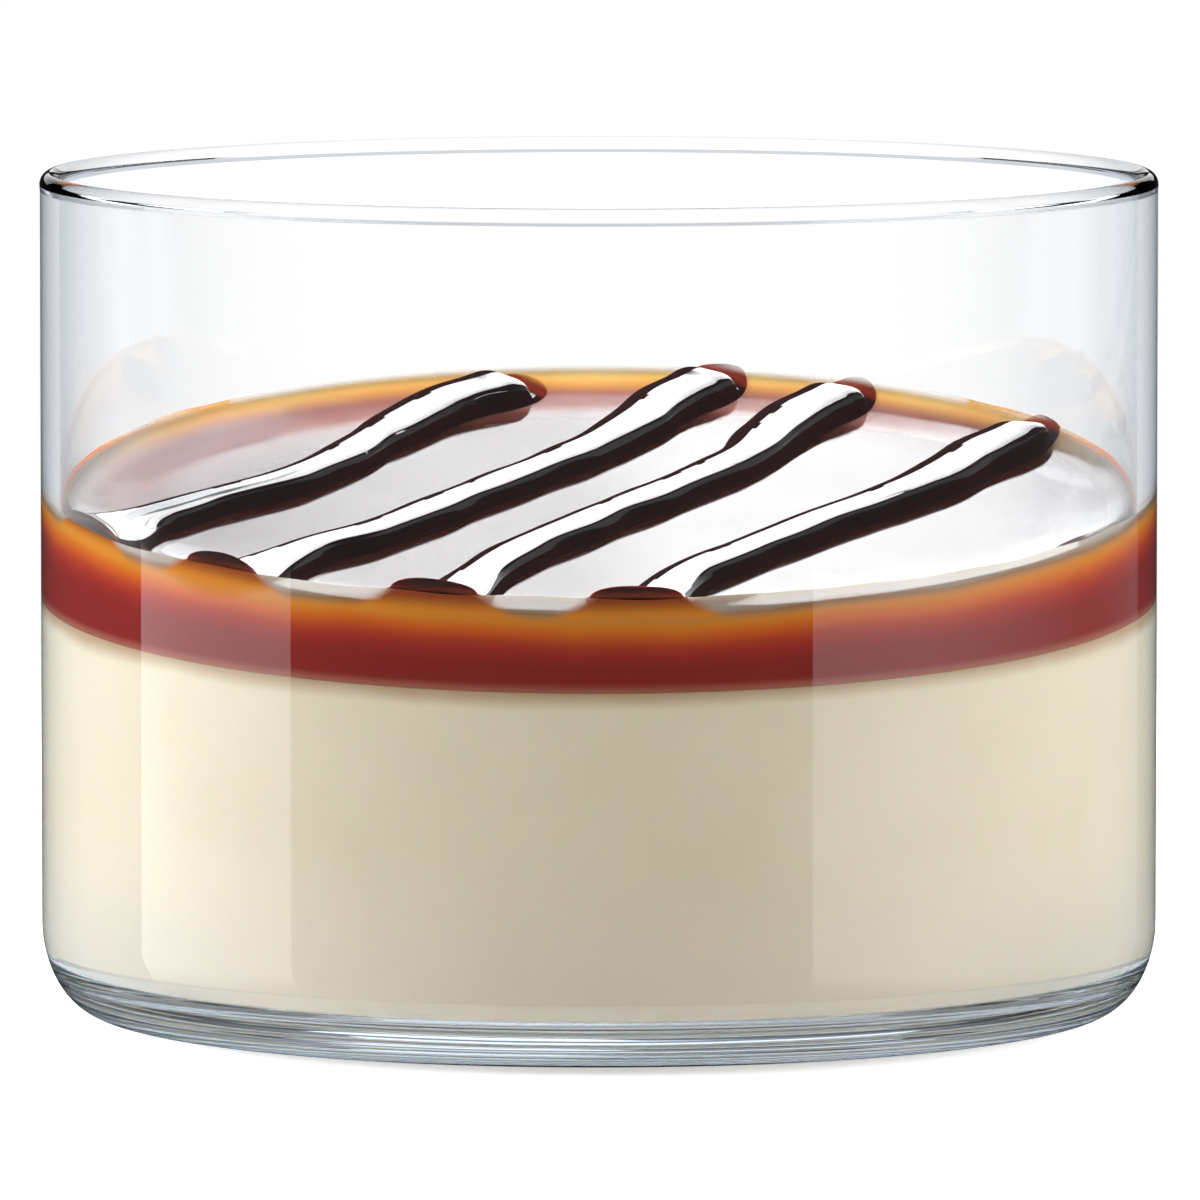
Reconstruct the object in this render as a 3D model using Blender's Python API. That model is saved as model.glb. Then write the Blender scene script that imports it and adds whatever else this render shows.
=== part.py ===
"""A low rocks glass that holds a set dessert: cream, a caramel layer and four chocolate strips.

Metres, +Z up. The origin is the middle of the standing ring, on the table. The front is -Y, the
side that the layers slope down to, because they set while the glass leaned.
"""

import math

import bmesh
import bpy
from mathutils import Matrix, Vector

# Tumbler
OUTER_DIAMETER = 0.083
GLASS_HEIGHT = 0.0625
WALL = 0.00145
HEEL_REACH = 0.0047  # how far the rounded heel runs in under the glass
HEEL_RISE = 0.0069  # how far the heel climbs the wall
RING_WIDTH = 0.0045  # the flat ring that the glass stands on
PUNT_DEPTH = 0.0009  # the hollow inside that ring
FLOOR_HEIGHT = 0.0036  # the inner floor above the table
INNER_CORNER = 0.0052  # fillet between the inner floor and the bore

# Dessert layers
CLEARANCE = 0.0003  # between pieces that touch
CREAM_DEPTH = 0.0271  # at the axis
CREAM_SLOPE = math.radians(5.0)
CARAMEL_DEPTH = 0.0064  # at the axis
CARAMEL_SLOPE = math.radians(8.2)
MENISCUS_RISE = 0.0016  # how far the caramel climbs the wall
MENISCUS_REACH = 0.0017  # the distance over which that climb fades

# Chocolate strips
STRIP_WIDTH = 0.0038
STRIP_HEIGHT = 0.0018
HEAD_SWELL = 0.32  # extra width and height at the rounded back end
HEAD_LENGTH = 0.0120  # the stretch that the swell fades over
FOOT_FLARE = 0.75  # extra width where the strip runs out at the wall
FOOT_LENGTH = 0.0080
RIPPLE = 0.07  # share by which the width wavers along the strip
RIPPLE_PITCH = 0.0105
BELLY = 0.35  # height of a strip's widest level, as a share of its height
UNDERCUT = math.radians(32.0)  # how far the sides turn in below that level

# Each route lists points from the back end to the wall, as shares of the dessert's radius.
# The last point lies past the wall, where the bore trims the strip.
STRIP_ROUTES = (
    ((-0.18, 0.77), (-0.43, 0.50), (-0.62, 0.13), (-0.81, -0.18), (-0.99, -0.50)),
    ((0.24, 0.78), (0.01, 0.36), (-0.29, -0.15), (-0.56, -0.47), (-0.77, -0.82)),
    ((0.46, 0.67), (0.28, 0.31), (0.05, -0.15), (-0.21, -0.62), (-0.33, -1.06)),
    ((0.82, 0.40), (0.61, 0.07), (0.35, -0.36), (0.12, -0.76), (0.04, -1.10)),
)

# Facets
TURN_STEPS = 72
PUNT_POINTS = 4
HEEL_POINTS = 7
LIP_POINTS = 8
CORNER_POINTS = 6
FLAT_RINGS = 3
MENISCUS_RINGS = 7
MENISCUS_FADES = 4  # reaches from the wall to where the climb is as good as gone
STRIP_STATIONS = 30
CAP_STATIONS = 4
SECTION_POINTS = 10
SMOOTH_BELOW = math.radians(40.0)
WELD = 1e-6  # points closer than this are one point

# Sizes that follow from those above
OUTER_RADIUS = OUTER_DIAMETER / 2
BORE_RADIUS = OUTER_RADIUS - WALL
FILL_RADIUS = BORE_RADIUS - CLEARANCE
CREAM_TOP = FLOOR_HEIGHT + CLEARANCE + CREAM_DEPTH
CARAMEL_TOP = CREAM_TOP + CLEARANCE + CARAMEL_DEPTH


def clear_scene():
    for old in list(bpy.data.objects):
        bpy.data.objects.remove(old, do_unlink=True)


def material(name, colour, roughness, transmission=0.0, ior=1.45):
    made = bpy.data.materials.new(name)
    made.use_nodes = True
    shader = made.node_tree.nodes["Principled BSDF"]
    shader.inputs["Base Color"].default_value = (*colour, 1.0)
    shader.inputs["Roughness"].default_value = roughness
    shader.inputs["Metallic"].default_value = 0.0
    shader.inputs["Transmission Weight"].default_value = transmission
    shader.inputs["IOR"].default_value = ior
    return made


def add_object(name, shape, finish, parent):
    """Closes a bmesh into a named object, with its round surfaces shaded smooth."""
    bmesh.ops.recalc_face_normals(shape, faces=shape.faces[:])
    mesh = bpy.data.meshes.new(name)
    shape.to_mesh(mesh)
    shape.free()
    mesh.shade_smooth()
    mesh.set_sharp_from_angle(angle=SMOOTH_BELOW)
    mesh.materials.append(finish)
    made = bpy.data.objects.new(name, mesh)
    made.parent = parent
    bpy.context.scene.collection.objects.link(made)
    return made


def arc(centre, reach, rise, start, end, count):
    """Points along an elliptical arc of the profile, from one angle in degrees to another."""
    turn = [math.radians(start + (end - start) * i / count) for i in range(count + 1)]
    return [(centre[0] + reach * math.cos(a), centre[1] + rise * math.sin(a)) for a in turn]


def turned(profile):
    """A bmesh turned about Z from (radius, height) points whose ends lie on the axis."""
    shape = bmesh.new()
    points = [shape.verts.new((radius, 0.0, height)) for radius, height in profile]
    for first, second in zip(points, points[1:]):
        shape.edges.new((first, second))
    bmesh.ops.spin(
        shape,
        geom=shape.verts[:] + shape.edges[:],
        cent=(0.0, 0.0, 0.0),
        axis=(0.0, 0.0, 1.0),
        angle=math.tau,
        steps=TURN_STEPS,
        use_merge=True,
    )
    bmesh.ops.remove_doubles(shape, verts=shape.verts[:], dist=WELD)
    return shape


def tumbler_profile():
    """From the middle of the punt, under the ring, up the wall, over the lip and down the bore."""
    ring_outer = OUTER_RADIUS - HEEL_REACH
    ring_inner = ring_outer - RING_WIDTH
    punt = [
        (ring_inner * i / PUNT_POINTS, PUNT_DEPTH * (1 - (i / PUNT_POINTS) ** 2))
        for i in range(PUNT_POINTS + 1)
    ]
    heel = arc((ring_outer, HEEL_RISE), HEEL_REACH, HEEL_RISE, -90, 0, HEEL_POINTS)
    lip_centre = (OUTER_RADIUS - WALL / 2, GLASS_HEIGHT - WALL / 2)
    lip = arc(lip_centre, WALL / 2, WALL / 2, 0, 180, LIP_POINTS)
    corner_centre = (BORE_RADIUS - INNER_CORNER, FLOOR_HEIGHT + INNER_CORNER)
    corner = arc(corner_centre, INNER_CORNER, INNER_CORNER, 0, -90, CORNER_POINTS)
    return punt + heel + lip + corner + [(0.0, FLOOR_HEIGHT)]


def cream_surface(y):
    return CREAM_TOP + math.tan(CREAM_SLOPE) * y


def caramel_surface(x, y):
    """Height of the caramel: a sloping plane that climbs close to the wall, and evenly past it."""
    fade = (math.hypot(x, y) - FILL_RADIUS) / MENISCUS_REACH
    climb = MENISCUS_RISE * (1 + fade if fade > 0 else math.exp(fade))
    return CARAMEL_TOP + math.tan(CARAMEL_SLOPE) * y + climb


def cream_shape():
    """Turned to fit the bore, then cut by the sloping plane of its top."""
    seat = FLOOR_HEIGHT + CLEARANCE
    corner_centre = (BORE_RADIUS - INNER_CORNER, FLOOR_HEIGHT + INNER_CORNER)
    corner_radius = INNER_CORNER - CLEARANCE
    corner = arc(corner_centre, corner_radius, corner_radius, -90, 0, CORNER_POINTS)
    above = cream_surface(FILL_RADIUS) + CREAM_DEPTH
    shape = turned([(0.0, seat), *corner, (FILL_RADIUS, above), (0.0, above)])
    cut = bmesh.ops.bisect_plane(
        shape,
        geom=shape.verts[:] + shape.edges[:] + shape.faces[:],
        plane_co=(0.0, 0.0, CREAM_TOP),
        plane_no=(0.0, -math.sin(CREAM_SLOPE), math.cos(CREAM_SLOPE)),
        clear_outer=True,
    )
    rim = [part for part in cut["geom_cut"] if isinstance(part, bmesh.types.BMEdge)]
    bmesh.ops.edgeloop_fill(shape, edges=rim)
    return shape


def caramel_shape():
    """A disc of rings, closer together at the wall, lifted to the surface over a sloping seat."""
    meniscus_start = FILL_RADIUS - MENISCUS_FADES * MENISCUS_REACH
    radii = [meniscus_start * i / FLAT_RINGS for i in range(FLAT_RINGS)]
    radii += [
        FILL_RADIUS - (FILL_RADIUS - meniscus_start) * (1 - i / MENISCUS_RINGS) ** 2
        for i in range(MENISCUS_RINGS + 1)
    ]
    top = [(radius, 1.0) for radius in radii]
    shape = turned([(0.0, 0.0), (FILL_RADIUS, 0.0), *reversed(top)])
    for point in shape.verts:
        x, y, is_top = point.co
        if is_top:
            point.co.z = caramel_surface(x, y)
        else:
            point.co.z = cream_surface(y) + CLEARANCE
    return shape


def smooth_route(route, count):
    """Evenly shared points on a Catmull-Rom curve through the route, in metres."""
    knots = [Vector(point) * FILL_RADIUS for point in route]
    knots = [2 * knots[0] - knots[1], *knots, 2 * knots[-1] - knots[-2]]
    spans = len(knots) - 3
    points = []
    for i in range(count):
        place = spans * i / (count - 1)
        span = min(int(place), spans - 1)
        t = place - span
        a, b, c, d = knots[span : span + 4]
        curve = 2 * b + (c - a) * t + (2 * a - 5 * b + 4 * c - d) * t**2 + (3 * b - a - 3 * c + d) * t**3
        points.append(curve / 2)
    return points


def strip_size(along, left):
    """Width and height of a strip at a distance from its back end and from the wall."""
    swell = HEAD_SWELL * math.exp(-((along / HEAD_LENGTH) ** 2))
    flare = FOOT_FLARE * math.exp(-((left / FOOT_LENGTH) ** 2))
    ripple = RIPPLE * math.sin(math.tau * along / RIPPLE_PITCH)
    width = STRIP_WIDTH * (1 + swell + flare + ripple)
    height = STRIP_HEIGHT * (1 + swell)
    return width, height


def strip_section(width, height):
    """(across, up) points round a domed section: a flat underside and sides that turn in to it."""
    start, end = math.degrees(-UNDERCUT), math.degrees(math.pi + UNDERCUT)
    dome = arc((0.0, BELLY * height), width / 2, (1 - BELLY) * height, start, end, SECTION_POINTS)
    underside = dome[0][1]
    return [(across, max(up - underside, 0.0)) for across, up in dome]


def strip_shape(route):
    """Lofts the section along the route, on the caramel, with a rounded back end."""
    path = smooth_route(route, STRIP_STATIONS)
    steps = [(second - first).length for first, second in zip(path, path[1:])]
    travelled = [sum(steps[:i]) for i in range(len(path))]
    wall_at = max(along for along, place in zip(travelled, path) if place.length < FILL_RADIUS)
    head_radius = strip_size(0.0, wall_at)[0] / 2
    first_way = (path[1] - path[0]).normalized()
    stations = []
    for i in range(CAP_STATIONS):
        angle = math.pi / 2 * (i + 0.5) / CAP_STATIONS
        back = head_radius * math.cos(angle)
        stations.append((path[0] - first_way * back, first_way, 0.0, math.sin(angle)))
    for i, place in enumerate(path):
        before, after = path[max(i - 1, 0)], path[min(i + 1, len(path) - 1)]
        stations.append((place, (after - before).normalized(), travelled[i], 1.0))

    shape = bmesh.new()
    rings = []
    for place, way, along, share in stations:
        width, height = strip_size(along, max(wall_at - along, 0.0))
        side = Vector((way.y, -way.x))
        ring = []
        for across, up in strip_section(width * share, height * share):
            x, y = place + side * across
            ring.append(shape.verts.new((x, y, caramel_surface(x, y) + CLEARANCE + up)))
        rings.append(ring)
    for ring, following in zip(rings, rings[1:]):
        for i in range(len(ring)):
            j = (i + 1) % len(ring)
            shape.faces.new((ring[i], ring[j], following[j], following[i]))
    shape.faces.new(rings[0])
    shape.faces.new(rings[-1])
    return shape


def bore_trimmer(parent):
    """The room inside the glass: each strip keeps only what lies in it."""
    shape = bmesh.new()
    bmesh.ops.create_cone(
        shape,
        cap_ends=True,
        segments=TURN_STEPS,
        radius1=FILL_RADIUS,
        radius2=FILL_RADIUS,
        depth=2 * GLASS_HEIGHT,
        matrix=Matrix.Translation((0.0, 0.0, GLASS_HEIGHT)),
    )
    trimmer = add_object("bore_trimmer", shape, None, parent)
    trimmer.hide_render = True
    trimmer.display_type = "WIRE"
    return trimmer


def main():
    clear_scene()
    base = bpy.data.objects.new("dessert_glass", None)
    bpy.context.scene.collection.objects.link(base)

    clear_glass = material("clear_glass", (0.95, 0.97, 0.98), 0.02, transmission=1.0, ior=1.52)
    ivory_cream = material("ivory_cream", (0.86, 0.77, 0.62), 0.40)
    amber_caramel = material("amber_caramel", (0.33, 0.06, 0.02), 0.08)
    dark_chocolate = material("dark_chocolate", (0.035, 0.014, 0.010), 0.14)

    add_object("glass_tumbler", turned(tumbler_profile()), clear_glass, base)
    add_object("cream_layer", cream_shape(), ivory_cream, base)
    add_object("caramel_layer", caramel_shape(), amber_caramel, base)

    trimmer = bore_trimmer(base)
    for number, route in enumerate(STRIP_ROUTES, start=1):
        strip = add_object(f"chocolate_strip_{number}", strip_shape(route), dark_chocolate, base)
        trim = strip.modifiers.new("trim_to_bore", "BOOLEAN")
        trim.operation = "INTERSECT"
        trim.object = trimmer


main()
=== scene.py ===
"""The looks of a low rocks glass that holds a set dessert.

A turned tumbler, a cream layer, a caramel layer and four chocolate strips are built in place of the
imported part's solids, in its own frame: metres, +Z up, with the front towards -Y.
"""

from __future__ import annotations

import logging
import math
from collections.abc import Callable, Sequence
from dataclasses import dataclass, field
from enum import Enum
from typing import Any, TypeVar

import bmesh
import bpy
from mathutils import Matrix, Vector, noise


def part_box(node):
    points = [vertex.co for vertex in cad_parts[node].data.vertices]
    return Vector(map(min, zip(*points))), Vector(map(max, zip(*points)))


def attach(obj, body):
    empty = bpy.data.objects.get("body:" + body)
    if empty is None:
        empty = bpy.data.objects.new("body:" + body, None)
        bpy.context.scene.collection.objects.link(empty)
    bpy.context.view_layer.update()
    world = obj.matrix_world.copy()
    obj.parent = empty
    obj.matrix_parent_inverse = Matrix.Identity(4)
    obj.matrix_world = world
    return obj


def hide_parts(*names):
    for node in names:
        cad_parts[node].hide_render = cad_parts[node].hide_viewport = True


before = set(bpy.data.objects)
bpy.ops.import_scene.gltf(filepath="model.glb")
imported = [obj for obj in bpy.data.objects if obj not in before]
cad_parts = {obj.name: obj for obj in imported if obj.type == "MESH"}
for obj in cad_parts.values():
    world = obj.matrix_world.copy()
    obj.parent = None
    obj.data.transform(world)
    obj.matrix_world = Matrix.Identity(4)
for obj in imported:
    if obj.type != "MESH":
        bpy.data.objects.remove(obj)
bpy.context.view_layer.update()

BODY = "root"
MILLIMETRE = 0.001
TURN_STEPS = 256
SMOOTH_BELOW = math.radians(50.0)
WELD = 1e-7
WHITE = (1.0, 1.0, 1.0)
# What an area lamp of one square metre takes for a radiance of 1.
LAMP_WATTS = 4.0
# What a noise node's values stray about.
NOISE_MEAN = 0.5

Colour = tuple[float, float, float]
Stops = tuple[tuple[float, Colour], ...]
Point = tuple[float, float, float]
Place = tuple["Value", "Value", "Value"]
Profile = list[tuple[float, float]]
Ring = list[Point]
Zone = tuple[float, float]
Level = Callable[[float, float], float]
Number = TypeVar("Number", float, "Value")

log = logging.getLogger("dessert_glass")


class Ray(Enum):
    """The kinds of ray that a finish can tell apart."""

    CAMERA = "Is Camera Ray"
    SHADOW = "Is Shadow Ray"
    DIFFUSE = "Is Diffuse Ray"
    GLOSSY = "Is Glossy Ray"
    TRANSMISSION = "Is Transmission Ray"


class Face(Enum):
    """What a face of the dessert lies against."""

    AIR = 0
    GLASS = 1


class Mark(Enum):
    """Faces of a piece that are set apart from its others."""

    PLAIN = "plain"
    LIP = "lip"
    WET = "wet"
    TOE = "toe"
    # A dull band of painted shade along a strip's sides.
    PAINTED_DARK_HEM = "painted_dark_hem"


class Value:
    """A node's output socket, on which Python's operators add Math nodes."""

    def __init__(self, sheet: NodeSheet, socket: bpy.types.NodeSocket) -> None:
        """Keeps the socket and the sheet that it is on."""
        self.sheet = sheet
        self.socket = socket

    def __add__(self, other: Value | float) -> Value:
        """This value plus another."""
        return self.sheet.math("ADD", self, other)

    def __radd__(self, other: float) -> Value:
        """A number plus this value."""
        return self.sheet.math("ADD", other, self)

    def __sub__(self, other: Value | float) -> Value:
        """This value less another."""
        return self.sheet.math("SUBTRACT", self, other)

    def __rsub__(self, other: float) -> Value:
        """A number less this value."""
        return self.sheet.math("SUBTRACT", other, self)

    def __mul__(self, other: Value | float) -> Value:
        """This value times another."""
        return self.sheet.math("MULTIPLY", self, other)

    def __rmul__(self, other: float) -> Value:
        """A number times this value."""
        return self.sheet.math("MULTIPLY", other, self)

    def __truediv__(self, other: Value | float) -> Value:
        """This value over another."""
        return self.sheet.math("DIVIDE", self, other)

    def __rtruediv__(self, other: float) -> Value:
        """A number over this value."""
        return self.sheet.math("DIVIDE", other, self)

    def __pow__(self, power: float) -> Value:
        """This value to a power."""
        return self.sheet.math("POWER", self, power)

    def __rpow__(self, base: float) -> Value:
        """A number to the power of this value."""
        return self.sheet.math("POWER", base, self)

    def __abs__(self) -> Value:
        """This value without its sign."""
        return self.sheet.math("ABSOLUTE", self, 0.0)


class NodeSheet:
    """The node tree of one finish, or of the world."""

    def __init__(self, tree: bpy.types.NodeTree) -> None:
        """Starts from an empty tree."""
        self.tree = tree
        tree.nodes.clear()

    def node(
        self,
        kind: str,
        settings: dict[str, Any] | None = None,
        sockets: dict[str | int, Any] | None = None,
    ) -> bpy.types.Node:
        """Adds a node.

        Args:
            kind: The node's type.
            settings: Its properties, and "stops" for a colour ramp. They are set first.
            sockets: A value to link or a plain value for each named or numbered input.

        Returns:
            The node.
        """
        made = self.tree.nodes.new(kind)
        for name, setting in (settings or {}).items():
            if name == "stops":
                self._set_stops(made.color_ramp, setting)
            else:
                setattr(made, name, setting)
        for key, given in (sockets or {}).items():
            if isinstance(given, Value):
                self.tree.links.new(given.socket, made.inputs[key])
            elif isinstance(given, tuple) and len(made.inputs[key].default_value) > len(given):
                made.inputs[key].default_value = (*given, 1.0)
            else:
                made.inputs[key].default_value = given
        return made

    @staticmethod
    def _set_stops(ramp: bpy.types.ColorRamp, stops: Sequence[tuple[float, Colour]]) -> None:
        """Gives a colour ramp its stops.

        Args:
            ramp: The ramp.
            stops: The place and the colour of each stop, in order of place.
        """
        while len(ramp.elements) < len(stops):
            ramp.elements.new(1.0)
        for element, (place, colour) in zip(ramp.elements, stops):
            element.position = place
            element.color = (*colour, 1.0)

    def value(
        self,
        kind: str,
        output: str | int = 0,
        settings: dict[str, Any] | None = None,
        sockets: dict[str | int, Any] | None = None,
    ) -> Value:
        """Adds a node and gives one of its outputs.

        Args:
            kind: The node's type.
            output: The name or number of the output.
            settings: As for node.
            sockets: As for node.

        Returns:
            That output.
        """
        return Value(self, self.node(kind, settings, sockets).outputs[output])

    def math(self, operation: str, first: Value | float, second: Value | float) -> Value:
        """One Math node on two values or numbers."""
        sockets = {0: first, 1: second}
        return self.value("ShaderNodeMath", 0, {"operation": operation}, sockets)

    def smooth(self, given: Value, low: float, high: float) -> Value:
        """A smooth step from 0 at low to 1 at high."""
        sockets = {"Value": given, "From Min": low, "From Max": high}
        return self.value("ShaderNodeMapRange", "Result", {"interpolation_type": "SMOOTHSTEP"}, sockets)

    def mix(self, factor: Value, first: Value | Colour, second: Value | Colour) -> Value:
        """A colour between two, by a factor."""
        sockets = {0: factor, 6: first, 7: second}
        return self.value("ShaderNodeMix", 2, {"data_type": "RGBA"}, sockets)

    def ramp(self, factor: Value, stops: Sequence[tuple[float, Colour]]) -> Value:
        """A colour read from a ramp."""
        return self.value("ShaderNodeValToRGB", "Color", {"stops": stops}, {"Fac": factor})

    def noise(self, scale: float, detail: float, where: Value | None = None) -> Value:
        """Soft noise from 0 to 1, over the piece's own coordinates unless a place is given."""
        sockets = {"Vector": where or self.own(), "Scale": scale, "Detail": detail}
        return self.value("ShaderNodeTexNoise", "Fac", sockets=sockets)

    def own(self) -> Value:
        """The piece's own coordinates, in metres."""
        return self.value("ShaderNodeTexCoord", "Object")

    def stretched(self, scale: Point) -> Value:
        """The piece's own coordinates, scaled along each axis."""
        sockets = {"Vector": self.own(), "Scale": scale}
        return self.value("ShaderNodeMapping", "Vector", sockets=sockets)

    def axes(self, where: Value) -> Place:
        """The three parts of a vector."""
        split = self.node("ShaderNodeSeparateXYZ", sockets={"Vector": where})
        return tuple(Value(self, output) for output in split.outputs)

    @staticmethod
    def from_axis(x: Value, y: Value) -> Value:
        """The distance from the upright axis."""
        return (x * x + y * y) ** 0.5

    def mark(self, kind: Mark) -> Value:
        """How strong a mark is on a face: 1 where it is full, and 0 on faces without it."""
        return self.value("ShaderNodeAttribute", "Fac", {"attribute_name": kind.value})

    def ray(self, kind: Ray) -> Value:
        """1 for rays of one kind, and 0 for the others."""
        return self.value("ShaderNodeLightPath", kind.value)

    def straight(self) -> Value:
        """1 for rays that no surface has mirrored so far, and 0 for the others."""
        return 1 - self.math("MINIMUM", self.value("ShaderNodeLightPath", "Glossy Depth"), 1.0)

    def bump(self, height: Value, strength: float, distance: float) -> Value:
        """A normal bent by a height."""
        sockets = {"Height": height, "Strength": strength, "Distance": distance}
        return self.value("ShaderNodeBump", "Normal", sockets=sockets)

    def principled(self, sockets: dict[str | int, Any]) -> Value:
        """A Principled shader with these sockets."""
        return self.value("ShaderNodeBsdfPrincipled", "BSDF", sockets=sockets)

    def clear(self) -> Value:
        """A shader that lets everything through."""
        return self.value("ShaderNodeBsdfTransparent", "BSDF")

    def blend(self, factor: Value, first: Value, second: Value) -> Value:
        """A shader between two, by a factor."""
        return self.value("ShaderNodeMixShader", 0, sockets={0: factor, 1: first, 2: second})


@dataclass(frozen=True)
class Finish:
    """A named finish, whose nodes each kind of finish writes for itself."""

    name: str

    def surface(self, sheet: NodeSheet) -> Value:
        """Writes the finish's nodes and gives its shader."""
        raise NotImplementedError

    def inside(self, sheet: NodeSheet) -> Value | None:
        """Writes what fills the piece, where light goes into it."""
        return None

    def material(self) -> bpy.types.Material:
        """Makes the material.

        Returns:
            The material, with its nodes.
        """
        made = bpy.data.materials.new(self.name)
        made.use_nodes = True
        sheet = NodeSheet(made.node_tree)
        sockets = {"Surface": self.surface(sheet)}
        inside = self.inside(sheet)
        if inside:
            sockets["Volume"] = inside
        sheet.node("ShaderNodeOutputMaterial", sockets=sockets)
        return made


@dataclass(frozen=True)
class ClearGlass(Finish):
    """Fire-polished glass: clear, blue-grey where light goes a long way in it, with slow waves.

    It carries painted shade where it is seen edge-on, over its lip, and low down at its left and right.
    """

    name: str = "clear_glass"
    ior: float = 1.5
    lip_ior: float = 1.03
    # Partly the glass's own blue-grey, partly painted shade: the tint where the glass is seen edge-on.
    edge_tint_and_painted_shade: Colour = (0.20, 0.30, 0.42)
    edge_power: float = 3.0
    # Painted shade: the lip darkens to this where it is seen edge-on.
    lip_painted_shade: Colour = (0.14, 0.17, 0.20)
    lip_power: float = 2.2
    body: Colour = (0.54, 0.59, 0.64)
    density: float = 29.0
    # Painted shade: the glass darkens to this blue-grey low down at its left and right.
    heel_painted_shade: Colour = (0.40, 0.47, 0.54)
    heel_shade_share: float = 0.40
    heel_height: Zone = (0.0050, 0.0150)
    heel_side: Zone = (0.0200, 0.0350)
    wave_scale: float = 55.0
    wave_stretch: Point = (1.0, 1.0, 0.4)
    wave_strength: float = 0.012

    def inside(self, sheet: NodeSheet) -> Value:
        """Takes a little of the light along the way."""
        sockets = {"Color": self.body, "Density": self.density}
        return sheet.value("ShaderNodeVolumeAbsorption", sockets=sockets)

    def surface(self, sheet: NodeSheet) -> Value:
        """Refracts what the camera sees, and lets lamps and soft light straight through.

        Args:
            sheet: The material's nodes.

        Returns:
            The shader.
        """
        facing = sheet.value("ShaderNodeLayerWeight", "Facing", sockets={"Blend": 0.5})
        waves = sheet.noise(self.wave_scale, detail=1.0, where=sheet.stretched(self.wave_stretch))
        x, _, z = sheet.axes(sheet.own())
        # Painted shade low down at the glass's left and right.
        low_down = 1 - sheet.smooth(z, *self.heel_height)
        heel = low_down * sheet.smooth(abs(x), *self.heel_side) * self.heel_shade_share
        # Partly the glass's own blue-grey, partly painted shade: darker where the surface is seen
        # edge-on.
        tint = sheet.mix(facing**self.edge_power, WHITE, self.edge_tint_and_painted_shade)
        glass = sheet.principled(
            {
                "Base Color": sheet.mix(heel, tint, self.heel_painted_shade),
                "Roughness": 0.0,
                "IOR": self.ior,
                "Transmission Weight": 1.0,
                "Normal": sheet.bump(waves, self.wave_strength, distance=MILLIMETRE),
            }
        )
        # Painted shade on the lip where it is seen edge-on.
        lip = sheet.principled(
            {
                "Base Color": sheet.mix(facing**self.lip_power, WHITE, self.lip_painted_shade),
                "Roughness": 0.0,
                "IOR": self.lip_ior,
                "Transmission Weight": 1.0,
            }
        )
        glass = sheet.blend(sheet.mark(Mark.LIP), glass, lip)
        glass = sheet.blend(sheet.mark(Mark.WET), glass, sheet.clear())
        for kind in (Ray.DIFFUSE, Ray.SHADOW):
            glass = sheet.blend(sheet.ray(kind), glass, sheet.clear())
        return glass


@dataclass(frozen=True)
class Layers:
    """Where the dessert's layers lie in the glass."""

    bore_radius: float
    seat: float
    corner: float
    feet: tuple[tuple[float, float], ...] = ()
    hair: float = 0.00002
    cream_top: float = 0.0310
    cream_slope: float = math.tan(math.radians(5.0))
    caramel_top: float = 0.0377
    caramel_slope: float = math.tan(math.radians(8.2))
    meniscus_rise: float = 0.0016
    meniscus_front: float = 0.0009
    meniscus_reach: float = 0.0026
    meniscus_waver: float = 0.10
    waver_scale: float = 160.0
    waver_seed: float = 9.0

    @property
    def radius(self) -> float:
        """The dessert's radius, a hair short of the bore."""
        return self.bore_radius - self.hair

    def cream_level(self, x: Number, y: Number) -> Number:
        """Height of the cream's top, in numbers or in nodes."""
        return self.cream_top + self.cream_slope * y

    def flat_level(self, x: Number, y: Number) -> Number:
        """Height of the caramel without its climb at the wall, in numbers or in nodes."""
        return self.caramel_top + self.caramel_slope * y

    def caramel_level(self, x: float, y: float) -> float:
        """Height of the caramel, which climbs close to the wall.

        Args:
            x: The place's x.
            y: The place's y.

        Returns:
            The height there. Past the wall it goes on rising.
        """
        fade = (math.hypot(x, y) - self.radius) / self.meniscus_reach
        rise = self.meniscus_rise + self.meniscus_front * max(-y, 0.0) / self.radius
        waver = noise.noise((x * self.waver_scale, y * self.waver_scale, self.waver_seed))
        rise *= 1 + self.meniscus_waver * waver
        return self.flat_level(x, y) + rise * (1 + fade if fade > 0 else math.exp(fade))

    def near_wall(self, sheet: NodeSheet, out: Value, zone: Zone) -> Value:
        """A smooth step from 0 to 1 between two distances from the wall."""
        return sheet.smooth(out, self.radius - zone[0], self.radius - zone[1])


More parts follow.
